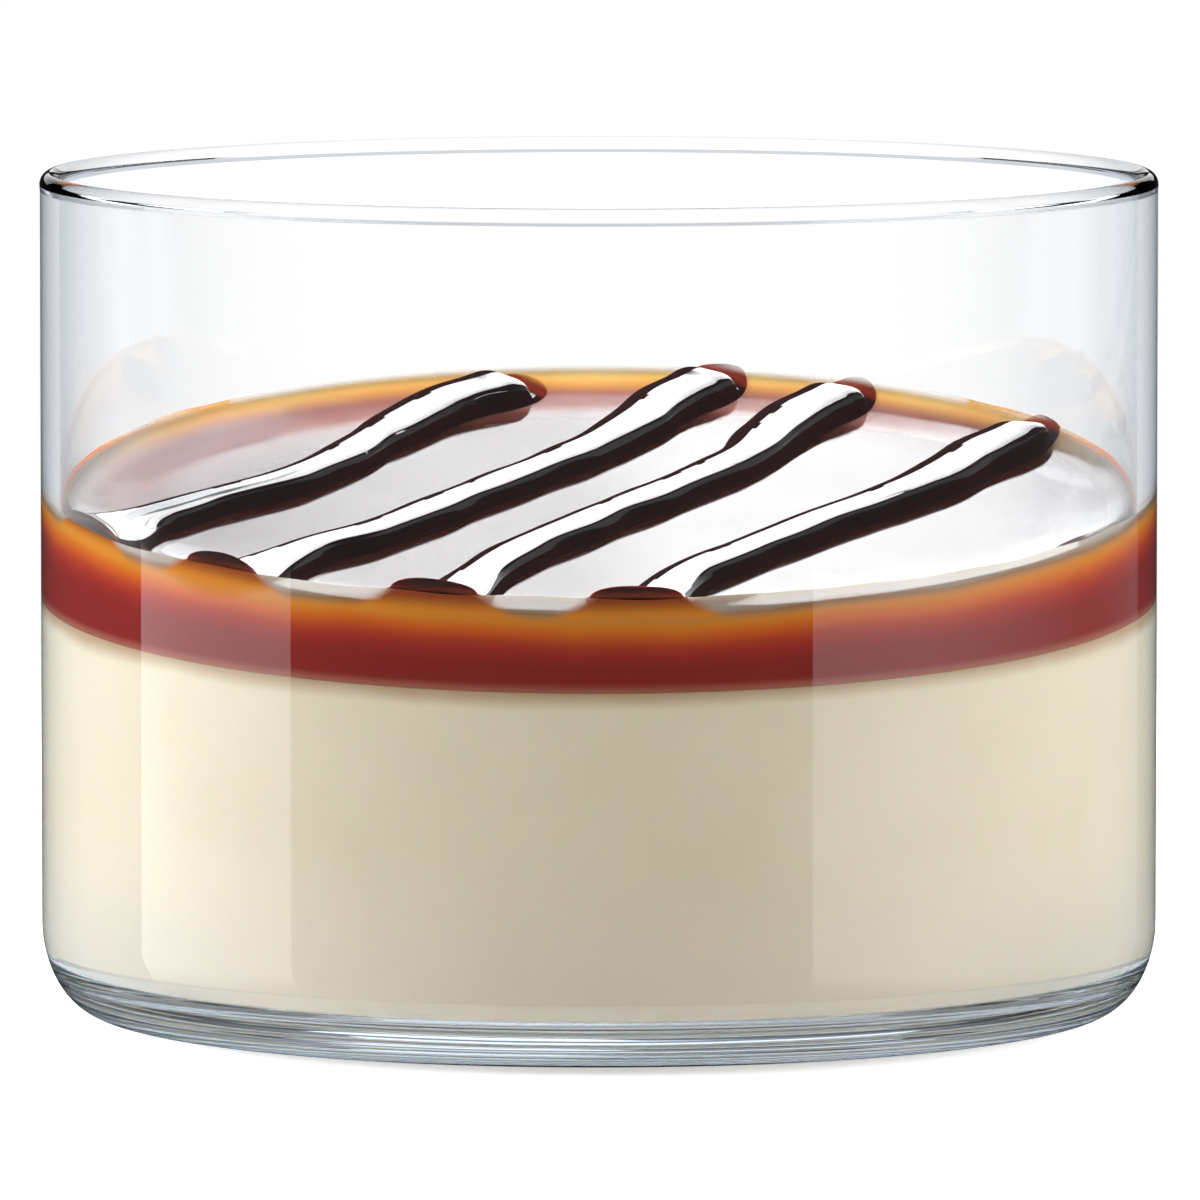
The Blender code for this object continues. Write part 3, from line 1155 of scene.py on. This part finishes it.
@dataclass
class ChocolateStrip:
    """One poured strip: a rounded head with a thin toe, a wavering run and a foot that flares."""

    number: int
    route: Sequence[tuple[float, float]]
    layers: Layers
    route_radius: float = 0.03975
    width: float = 0.0041
    height: float = 0.00130
    head_swell: float = 0.46
    head_rise: float = 0.26
    head_length: float = 0.0150
    foot_flare: float = 0.55
    foot_length: float = 0.0080
    foot_drop: float = 0.22
    foot_drop_length: float = 0.0060
    ripple: float = 0.045
    ripple_pitch: float = 0.0105
    squareness: float = 4.0
    foot_squareness: float = 2.0
    film: float = 0.00012
    film_blend: int = 3
    skirt: float = 0.00030
    # Where the painted dark hem lies: a dull band of painted shade along each side of a strip.
    hem_from: float = 0.26
    hem_at_foot: float = 0.34
    hem_stray: float = 0.08
    hem_scale: float = 220.0
    hem_seeds: tuple[float, float] = (2.0, 5.0)
    hem_steps: int = 7
    toe: float = 0.0026
    toe_from: float = 0.86
    toe_height: float = 0.00045
    wobble: float = 0.00020
    wobble_scale: float = 190.0
    wobble_seed: float = 7.0
    roll: float = 0.04
    roll_scale: float = 150.0
    roll_seeds: tuple[float, float] = (5.0, 3.0)
    stations: int = 120
    cap_stations: int = 30
    section_steps: int = 36

    def path(self) -> list[Vector]:
        """Follows the route on a smooth curve through its knots.

        Returns:
            The stations along it, in metres.
        """
        knots = [Vector(point) * self.route_radius for point in self.route]
        knots = [2 * knots[0] - knots[1], *knots, 2 * knots[-1] - knots[-2]]
        spans = len(knots) - 3
        points = []
        for i in range(self.stations):
            place = spans * i / (self.stations - 1)
            span = min(int(place), spans - 1)
            t = place - span
            a, b, c, d = knots[span : span + 4]
            bend = (2 * a - 5 * b + 4 * c - d) * t**2 + (3 * b - a - 3 * c + d) * t**3
            points.append((2 * b + (c - a) * t + bend) / 2)
        return points

    def size(self, along: float, left: float) -> tuple[float, float]:
        """Width and height of the strip at a place along it.

        Args:
            along: The distance from the head.
            left: The distance that is left to the wall.

        Returns:
            The width and the height.
        """
        swell = self.head_swell * math.exp(-((along / self.head_length) ** 2))
        flare = self.foot_flare * math.exp(-((left / self.foot_length) ** 2))
        drop = self.foot_drop * math.exp(-((left / self.foot_drop_length) ** 2))
        ripple = self.ripple * math.sin(math.tau * along / self.ripple_pitch)
        seed, step = self.roll_seeds
        roll = self.roll * noise.noise((along * self.roll_scale, seed, self.number * step))
        width = self.width * (1 + swell + flare + ripple)
        rise = self.head_rise / self.head_swell * swell
        return width, self.height * (1 + rise + roll) * (1 - drop)

    def section(self, width: float, height: float, reach: float, film: float, square: float) -> Profile:
        """(across, up) points over a dome that runs out into a thin film.

        Args:
            width: The dome's width.
            height: The dome's height.
            reach: How far the film goes to each side.
            film: The film's height.
            square: How flat the dome's top is.

        Returns:
            The points, from one side to the other.
        """
        power = self.film_blend
        points = []
        for i in range(self.section_steps + 1):
            share = math.cos(math.pi * i / self.section_steps)
            inside = min(abs(share) * reach / max(width / 2, WELD), 1.0)
            dome = height * math.sqrt(1 - inside**square)
            under = film * math.sqrt(1 - share**2)
            points.append((share * reach, (dome**power + under**power) ** (1 / power)))
        return points

    def painted_dark_hem(self, width: float, at_foot: float, along: float) -> tuple[int, int]:
        """Counts the faces of a section that are its painted dark hem, a dull band of painted shade.

        Args:
            width: The section's width.
            at_foot: How near the foot it is, from 0 to 1.
            along: The distance from the head.

        Returns:
            The faces on the far side, and those on the side towards the viewer.
        """
        seed, step = self.hem_seeds
        start = self.hem_from + self.hem_at_foot * at_foot
        start += self.hem_stray * noise.noise((along * self.hem_scale, seed, self.number * step))
        share = start * width / (width + 2 * self.skirt)
        return round(math.acos(share) / math.pi * self.section_steps), self.hem_steps

    def ring(self, place: Vector, way: Vector, along: float, section: Profile, clamp: bool) -> Ring:
        """Sets a section up across the strip, on the caramel.

        Args:
            place: The middle of the section.
            way: The way that the strip runs.
            along: The distance from the head.
            section: The (across, up) points.
            clamp: Whether points past the wall are drawn in to it.

        Returns:
            The ring.
        """
        layers = self.layers
        side = Vector((way.y, -way.x))
        widest = max(across for across, _ in section)
        seed = self.number * self.wobble_seed
        furthest = layers.radius - 2 * layers.hair
        ring = []
        for across, up in section:
            stray = noise.noise((along * self.wobble_scale, math.copysign(1.0, across), seed))
            x, y = place + side * (across + across / widest * stray * self.wobble)
            inward = min(furthest / math.hypot(x, y), 1.0) if clamp else 1.0
            x, y = x * inward, y * inward
            ring.append((x, y, layers.caramel_level(x, y) + layers.hair + up))
        return ring

    def trimmed(self, rings: list[Ring]) -> list[Ring]:
        """Stops each line of points where it meets the wall.

        Args:
            rings: The rings, from the head on.

        Returns:
            The rings up to the first one that lies on the wall altogether.
        """
        radius = self.layers.radius - self.layers.hair
        kept = [rings[0]]
        for ring in rings[1:]:
            row = []
            for before, after in zip(kept[-1], ring):
                near, far = math.hypot(*before[:2]), math.hypot(*after[:2])
                if far <= radius:
                    row.append(after)
                    continue
                share = max((radius - near) / max(far - near, WELD), 0.0)
                row.append(tuple(b + (a - b) * share for b, a in zip(before, after)))
            kept.append(row)
            if all(math.hypot(*point[:2]) > radius - WELD for point in row):
                break
        return kept

    def head_rings(
        self, start: Vector, way: Vector, size: tuple[float, float]
    ) -> list[tuple[Ring, float]]:
        """Rounds the head off and draws its toe out.

        Args:
            start: Where the run starts.
            way: The way that the strip runs there.
            size: The strip's width and height there.

        Returns:
            The rings from the toe's tip on, each with how far out on the toe it is, from 0 to 1.
        """
        width, height = size
        head = width / 2
        toe_start = head * self.toe_from
        rings = []
        for i in range(self.cap_stations):
            angle = math.pi / 2 * (i + 0.5) / self.cap_stations
            back = (head + self.toe) * math.cos(angle)
            share = math.sqrt(max(1 - (back / head) ** self.squareness, 0.0))
            reach = (head + self.skirt) * math.sin(angle)
            film = max(self.toe_height * math.sin(2 * angle), self.film)
            section = self.section(width * share, height * share, reach, film, self.squareness)
            on_toe = max(back - toe_start, 0.0) / (head + self.toe - toe_start)
            rings.append((self.ring(start - way * back, way, 0.0, section, True), on_toe))
        return rings

    def run_rings(
        self, path: list[Vector], travelled: list[float], wall_at: float
    ) -> list[tuple[Ring, tuple[int, int]]]:
        """Carries the strip along its path, past the wall.

        Args:
            path: The stations.
            travelled: The distance of each from the head.
            wall_at: The distance at which the path meets the wall.

        Returns:
            The rings, each with the faces that are its painted dark hem.
        """
        rings = []
        for i, (place, along) in enumerate(zip(path, travelled)):
            way = (path[min(i + 1, len(path) - 1)] - path[max(i - 1, 0)]).normalized()
            left = max(wall_at - along, 0.0)
            width, height = self.size(along, left)
            at_foot = math.exp(-((left / self.foot_length) ** 2))
            square = self.squareness + (self.foot_squareness - self.squareness) * at_foot
            section = self.section(width, height, width / 2 + self.skirt, self.film, square)
            ring = self.ring(place, way, along, section, along < wall_at / 2)
            rings.append((ring, self.painted_dark_hem(width, at_foot, along)))
        return rings

    def build(self) -> bpy.types.Object:
        """Lofts the strip from its head to the wall.

        Returns:
            The piece.
        """
        path = self.path()
        steps = [(b - a).length for a, b in zip(path, path[1:])]
        travelled = [sum(steps[:i]) for i in range(len(path))]
        wall_at = max(d for d, place in zip(travelled, path) if place.length < self.layers.radius)
        size = self.size(0.0, wall_at)
        head = self.head_rings(path[0], (path[1] - path[0]).normalized(), size)
        run = self.run_rings(path, travelled, wall_at)
        toes = [on_toe for _, on_toe in head] + [0.0] * len(run)
        hems = [self.painted_dark_hem(size[0], 0.0, 0.0)] * len(head) + [painted_dark_hem for _, painted_dark_hem in run]
        rings = self.trimmed([ring for ring, _ in head + run])
        skin = Skin(f"chocolate_pour_{self.number}")
        skin.add([self.middle(rings[0])])
        for ring, toe, painted_dark_hem in zip(rings, toes, hems):
            skin.add(ring, mark=Mark.TOE, share=toe, painted_dark_hem=painted_dark_hem)
        skin.add([self.middle(rings[-1])])
        made = skin.build([DarkChocolate(layers=self.layers).material()])
        return settle(made, f"chocolate_strip_{self.number}")

    @staticmethod
    def middle(ring: Ring) -> Point:
        """The middle of a ring."""
        return tuple(sum(axis) / len(ring) for axis in zip(*ring))


# The knots of each strip, from its head to its foot: x and y, in shares of the radius.
STRIP_ROUTES = (
    (
        (-0.215, 0.850),
        (-0.297, 0.762),
        (-0.38, 0.60),
        (-0.55, 0.19),
        (-0.75, -0.07),
        (-0.86, -0.25),
        (-0.94, -0.48),
    ),
    (
        (0.185, 0.870),
        (0.124, 0.772),
        (0.065, 0.60),
        (-0.03, 0.38),
        (-0.22, 0.05),
        (-0.41, -0.28),
        (-0.55, -0.46),
        (-0.72, -0.82),
    ),
    (
        (0.435, 0.755),
        (0.381, 0.668),
        (0.328, 0.52),
        (0.265, 0.31),
        (0.14, 0.07),
        (-0.04, -0.24),
        (-0.20, -0.57),
        (-0.32, -1.06),
    ),
    (
        (0.785, 0.425),
        (0.720, 0.333),
        (0.645, 0.17),
        (0.56, 0.02),
        (0.40, -0.22),
        (0.27, -0.44),
        (0.14, -0.68),
        (0.05, -1.10),
    ),
)


def foot_of(route: Sequence[tuple[float, float]], radius: float) -> tuple[float, float]:
    """Where a route's last stretch meets the wall.

    Args:
        route: The route's knots, in shares of the radius.
        radius: The wall's radius.

    Returns:
        The place, in metres.
    """
    near, far = Vector(route[-2]), Vector(route[-1])
    share = (1 - near.length) / (far.length - near.length)
    return tuple((near + (far - near) * share) * radius)


@dataclass(frozen=True)
class Fade:
    """A fall of a lamp's light across a stretch of the studio."""

    along: Point
    start: float
    end: float
    least: float = 0.0

    def factor(self, sheet: NodeSheet, where: Value) -> Value:
        """Works out the fade.

        Args:
            sheet: The lamp's nodes.
            where: The place on the lamp.

        Returns:
            The share of the light there.
        """
        settings = {"operation": "DOT_PRODUCT"}
        place = sheet.value("ShaderNodeVectorMath", "Value", settings, {0: where, 1: self.along})
        return self.least + (1 - self.least) * sheet.smooth(place, self.start, self.end)


@dataclass(frozen=True)
class Softbox:
    """A studio lamp behind a rectangular diffuser."""

    name: str
    centre: Point
    facing: Point
    width: float
    height: float
    radiance: float
    colour: Colour = WHITE
    mirrored: bool = True
    fades: tuple[Fade, ...] = ()

    def soften(self, lamp: bpy.types.Light) -> None:
        """Fades parts of the lamp.

        Args:
            lamp: The lamp.
        """
        lamp.use_nodes = True
        sheet = NodeSheet(lamp.node_tree)
        where = sheet.value("ShaderNodeNewGeometry", "Position")
        strength = 1.0
        for fade in self.fades:
            strength = strength * fade.factor(sheet, where)
        dark = sheet.value("ShaderNodeEmission", 0, sockets={"Strength": 0.0})
        glow = sheet.value("ShaderNodeEmission", 0, sockets={"Strength": 1.0})
        sheet.node("ShaderNodeOutputLight", sockets={"Surface": sheet.blend(strength, dark, glow)})

    def build(self) -> bpy.types.Object:
        """Hangs the lamp.

        Returns:
            The lamp, in the scene.
        """
        lamp = bpy.data.lights.new(self.name, "AREA")
        lamp.shape = "RECTANGLE"
        lamp.size = self.width
        lamp.size_y = self.height
        lamp.color = self.colour
        lamp.energy = LAMP_WATTS * self.width * self.height * self.radiance
        if self.fades:
            self.soften(lamp)
        made = bpy.data.objects.new(self.name, lamp)
        made.location = self.centre
        made.rotation_euler = Vector(self.facing).to_track_quat("-Z", "Y").to_euler()
        made.visible_camera = False
        made.visible_glossy = self.mirrored
        made.visible_transmission = self.mirrored
        bpy.context.scene.collection.objects.link(made)
        return made


@dataclass(frozen=True)
class PaleFloor(Finish):
    """A white table: a little grain, the object's shadow, and no glare from in front of the glass."""

    name: str = "pale_floor"
    pale: Colour = (0.86, 0.87, 0.88)
    grain: Colour = (0.84, 0.85, 0.86)
    grain_scale: float = 30.0
    lift: float = 0.48
    behind: float = 1.21
    shadow_zone: Zone = (0.10, 0.30)
    flagged: float = 0.12
    flag_slant: float = 0.5
    flag_zone: Zone = (0.0, 0.16)

    def surface(self, sheet: NodeSheet) -> Value:
        """Lights the table for the camera and for the glass, as a white background.

        Args:
            sheet: The material's nodes.

        Returns:
            The shader.
        """
        x, y, _ = sheet.axes(sheet.own())
        colour = sheet.mix(sheet.noise(self.grain_scale, detail=4.0), self.pale, self.grain)
        table = sheet.value("ShaderNodeBsdfDiffuse", 0, sockets={"Color": colour})
        lit = sheet.value("ShaderNodeAddShader", 0, sockets={0: table, 1: self.glow(sheet, self.lift)})
        away = sheet.smooth(sheet.from_axis(x, y), *self.shadow_zone)
        shown = sheet.blend(away, lit, self.glow(sheet, 1.0))
        shown = sheet.blend(sheet.ray(Ray.CAMERA), table, shown)
        in_front = sheet.smooth(abs(x) * self.flag_slant - y, *self.flag_zone)
        flagged_off = in_front * (1 - sheet.straight())
        far = sheet.blend(flagged_off, self.glow(sheet, self.behind), self.glow(sheet, self.flagged))
        through = sheet.blend(away, lit, far)
        return sheet.blend(sheet.ray(Ray.TRANSMISSION), shown, through)

    @staticmethod
    def glow(sheet: NodeSheet, strength: float) -> Value:
        """A white glow."""
        return sheet.value("ShaderNodeEmission", 0, sockets={"Color": WHITE, "Strength": strength})


@dataclass
class Studio:
    """The table, the lamps, the world and the camera."""

    camera_distance: float = 1.245
    camera_pitch: float = math.radians(5.26)
    camera_side: float = 0.00008
    target_height: float = 0.03056
    lens: float = 502.3
    sensor: float = 36.0
    clip: Zone = (0.05, 20.0)
    floor_radius: float = 2.6
    floor_segments: int = 128
    floor_drop: float = 0.0002
    fill: Colour = (0.155, 0.135, 0.105)
    front: Colour = (0.032, 0.030, 0.031)
    back: Colour = (0.72, 0.76, 0.80)
    back_zone: Zone = (0.70, 1.0)
    glossy_bounces: int = 20
    light_bounces: int = 28
    softboxes: tuple[Softbox, ...] = (
        Softbox(
            "left_card",
            centre=(-0.45, -0.054, -0.095),
            facing=(1.0, 0.0, 0.0),
            width=0.3425,
            height=0.21,
            radiance=1.6,
            colour=(0.96, 0.98, 1.0),
            fades=(
                Fade(along=(0.0, 0.0, 1.0), start=-0.20, end=-0.07),
                Fade(along=(0.0, 0.0135, -1.0), start=0.0030, end=0.0050),
            ),
        ),
        Softbox(
            "right_card",
            centre=(0.45, 0.059, -0.095),
            facing=(-1.0, 0.0, 0.0),
            width=1.082,
            height=0.21,
            radiance=1.25,
            colour=(0.97, 0.98, 1.0),
            fades=(
                Fade(along=(0.0, 0.0, 1.0), start=-0.20, end=-0.07),
                Fade(along=(0.0, -1.0, 0.0), start=-0.25, end=0.26, least=0.12),
                Fade(along=(0.0, 0.0560, -1.0), start=-0.0080, end=-0.0062),
                Fade(along=(0.0, 0.0177, -1.0), start=0.0008, end=0.0024),
            ),
        ),
        Softbox(
            "right_end",
            centre=(0.45, 0.49, 0.20),
            facing=(-1.0, 0.0, 0.0),
            width=0.32,
            height=1.2,
            radiance=0.12,
            colour=(0.97, 0.98, 1.0),
        ),
        Softbox(
            "left_fill",
            centre=(-0.50, 0.28, 0.40),
            facing=(1.0, -0.4, -0.6),
            width=0.9,
            height=0.7,
            radiance=4.3,
            colour=(0.82, 0.92, 1.02),
            mirrored=False,
        ),
        Softbox(
            "right_fill",
            centre=(0.50, 0.28, 0.40),
            facing=(-1.0, -0.4, -0.6),
            width=0.9,
            height=0.7,
            radiance=3.0,
            colour=(0.83, 0.92, 1.0),
            mirrored=False,
        ),
        Softbox(
            "top_fill",
            centre=(0.0, -0.05, 0.80),
            facing=(0.0, 0.1, -1.0),
            width=0.6,
            height=0.6,
            radiance=0.9,
            colour=(1.0, 0.97, 0.93),
            mirrored=False,
        ),
        Softbox(
            "back_low",
            centre=(-0.05, 0.85, 0.225),
            facing=(0.0, -1.0, 0.0),
            width=0.60,
            height=0.21,
            radiance=1.9,
        ),
        Softbox(
            "back_middle",
            centre=(0.115, 0.85, 0.370),
            facing=(0.0, -1.0, 0.0),
            width=0.53,
            height=0.08,
            radiance=1.80,
            fades=(Fade(along=(1.0, 0.0, 0.0), start=-0.18, end=-0.01),),
        ),
        Softbox(
            "back_high",
            centre=(0.115, 0.85, 0.640),
            facing=(0.0, -1.0, 0.0),
            width=0.53,
            height=0.46,
            radiance=2.5,
            fades=(Fade(along=(1.0, 0.0, -0.27), start=-0.170, end=-0.140),),
        ),
    )

    def build_camera(self) -> None:
        """Stands the camera where the photograph was taken from."""
        data = bpy.data.cameras.new("camera")
        data.sensor_width = self.sensor
        data.lens = self.lens
        data.clip_start, data.clip_end = self.clip
        camera = bpy.data.objects.new("camera", data)
        away = self.camera_distance * math.cos(self.camera_pitch)
        rise = self.camera_distance * math.sin(self.camera_pitch)
        camera.location = (self.camera_side, -away, self.target_height + rise)
        camera.rotation_euler = (math.pi / 2 - self.camera_pitch, 0.0, 0.0)
        bpy.context.scene.collection.objects.link(camera)
        bpy.context.scene.camera = camera

    def build_floor(self) -> None:
        """Lays the table."""
        shape = bmesh.new()
        bmesh.ops.create_circle(
            shape, cap_ends=True, segments=self.floor_segments, radius=self.floor_radius
        )
        mesh = bpy.data.meshes.new("table")
        shape.to_mesh(mesh)
        shape.free()
        mesh.materials.append(PaleFloor().material())
        table = bpy.data.objects.new("table", mesh)
        table.location.z = -self.floor_drop
        table.visible_glossy = False
        bpy.context.scene.collection.objects.link(table)

    def build_world(self) -> None:
        """White for the camera, pale through the glass, and dark in what a surface mirrors in front."""
        world = bpy.data.worlds.new("studio")
        world.use_nodes = True
        bpy.context.scene.world = world
        sheet = NodeSheet(world.node_tree)
        _, y, _ = sheet.axes(sheet.value("ShaderNodeTexCoord", "Generated"))
        pale = sheet.math("MAXIMUM", sheet.smooth(y, *self.back_zone), sheet.straight())
        room = sheet.mix(pale, self.front, self.back)
        seen = sheet.mix(sheet.ray(Ray.GLOSSY), self.fill, self.front)
        seen = sheet.mix(sheet.ray(Ray.TRANSMISSION), seen, room)
        seen = sheet.mix(sheet.ray(Ray.CAMERA), seen, WHITE)
        sky = sheet.value("ShaderNodeBackground", 0, sockets={"Color": seen, "Strength": 1.0})
        sheet.node("ShaderNodeOutputWorld", sockets={"Surface": sky})

    def build(self) -> None:
        """Sets up the whole studio."""
        self.build_camera()
        self.build_floor()
        self.build_world()
        for softbox in self.softboxes:
            softbox.build()
            log.info("%s hangs at %s", softbox.name, softbox.centre)
        scene = bpy.context.scene
        scene.view_settings.view_transform = "Standard"
        scene.cycles.glossy_bounces = self.glossy_bounces
        scene.cycles.transmission_bounces = self.glossy_bounces
        scene.cycles.max_bounces = self.light_bounces


def main() -> None:
    """Builds the glass, its dessert and the studio."""
    logging.basicConfig(level=logging.INFO, format="%(name)s: %(message)s")
    tumbler = Tumbler.from_frame()
    feet = tuple(foot_of(route, tumbler.bore_radius) for route in STRIP_ROUTES)
    layers = Layers(tumbler.bore_radius, tumbler.floor_height, tumbler.inner_corner, feet)
    tumbler.build(layers)
    CreamLayer(layers).build()
    CaramelLayer(layers).build()
    for number, route in enumerate(STRIP_ROUTES, start=1):
        ChocolateStrip(number, route, layers).build()
    Studio().build()


if __name__ == "__main__":
    main()
